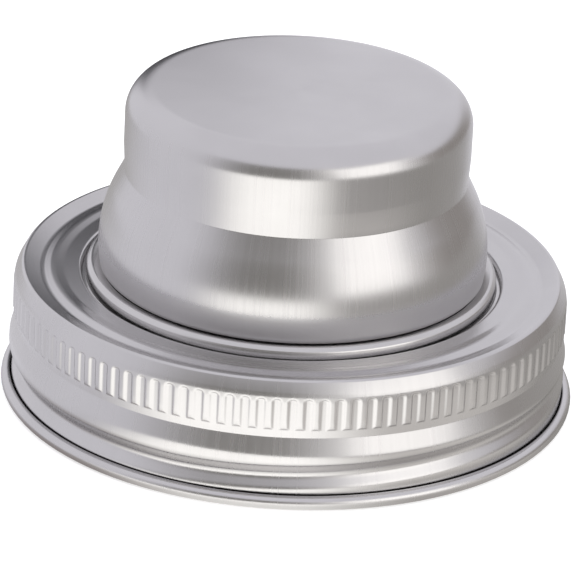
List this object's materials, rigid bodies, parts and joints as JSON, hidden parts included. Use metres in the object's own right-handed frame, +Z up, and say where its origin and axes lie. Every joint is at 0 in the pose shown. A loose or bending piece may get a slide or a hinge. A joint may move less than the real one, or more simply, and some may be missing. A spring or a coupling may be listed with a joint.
{
  "type": "shaker lid",
  "caption": "Three-piece steel shaker lid for a screw-top jar: knurled screw band, strainer insert with rubber seal, and a lift-off bell-shaped cap.",
  "frame": {"origin": "on the axis, in the plane of the band's curled foot", "axes": "+Z up the axis from the open foot to the cap's top; -Y is the front, where the picture looks from"},
  "size_m": [0.0754, 0.0754, 0.0422],
  "materials": {
    "band_steel": "satin stainless steel, pressed and knurled",
    "lid_steel": "satin stainless steel",
    "seal_rubber": "matt silicone rubber",
    "cap_steel": "brushed stainless steel, drawn"
  },
  "bodies": {
    "band": {"screw_band": "band_steel"},
    "insert": {"strainer_lid": "lid_steel", "jar_seal": "seal_rubber"},
    "cap": {"cap": "cap_steel"}
  },
  "joints": [
    {"name": "band_turn", "type": "hinge", "parent": "band", "child": "insert", "pos_m": [0, 0, 0], "axis": [0, 0, 1], "continuous": true},
    {"name": "cap_lift", "type": "slide", "parent": "insert", "child": "cap", "axis": [0, 0, 1], "range_m": [0, 0.0065]}
  ]
}
